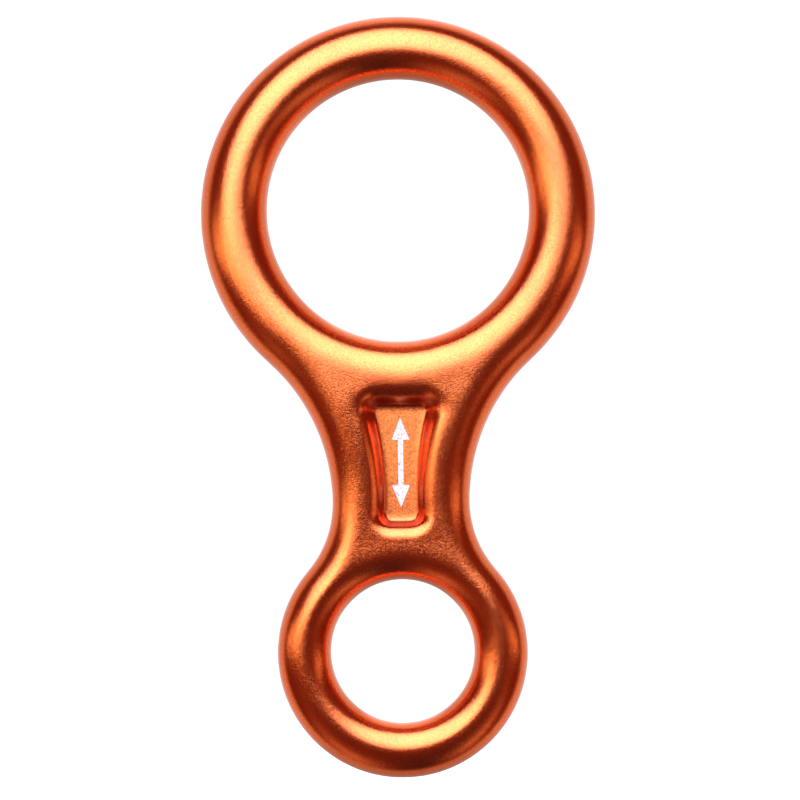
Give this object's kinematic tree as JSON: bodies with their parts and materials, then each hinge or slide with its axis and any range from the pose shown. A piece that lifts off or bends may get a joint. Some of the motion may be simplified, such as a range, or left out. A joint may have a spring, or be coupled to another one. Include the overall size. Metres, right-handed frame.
{
  "type": "rope descender",
  "caption": "Closed figure-eight rope descender: large rope ring, recessed web and small carabiner eye in one smooth forging.",
  "frame": {"origin": "centre of the carabiner eye, at mid thickness", "axes": "+Z along the load axis from the eye to the rope ring, Y along both ring axes with the marked side facing -Y, X across the web"},
  "size_m": [0.0752, 0.0122, 0.1452],
  "materials": {
    "body": "satin orange anodising",
    "print": "matte white ink"
  },
  "bodies": {
    "root": {"body": "body", "axis_mark": "print"}
  },
  "joints": []
}
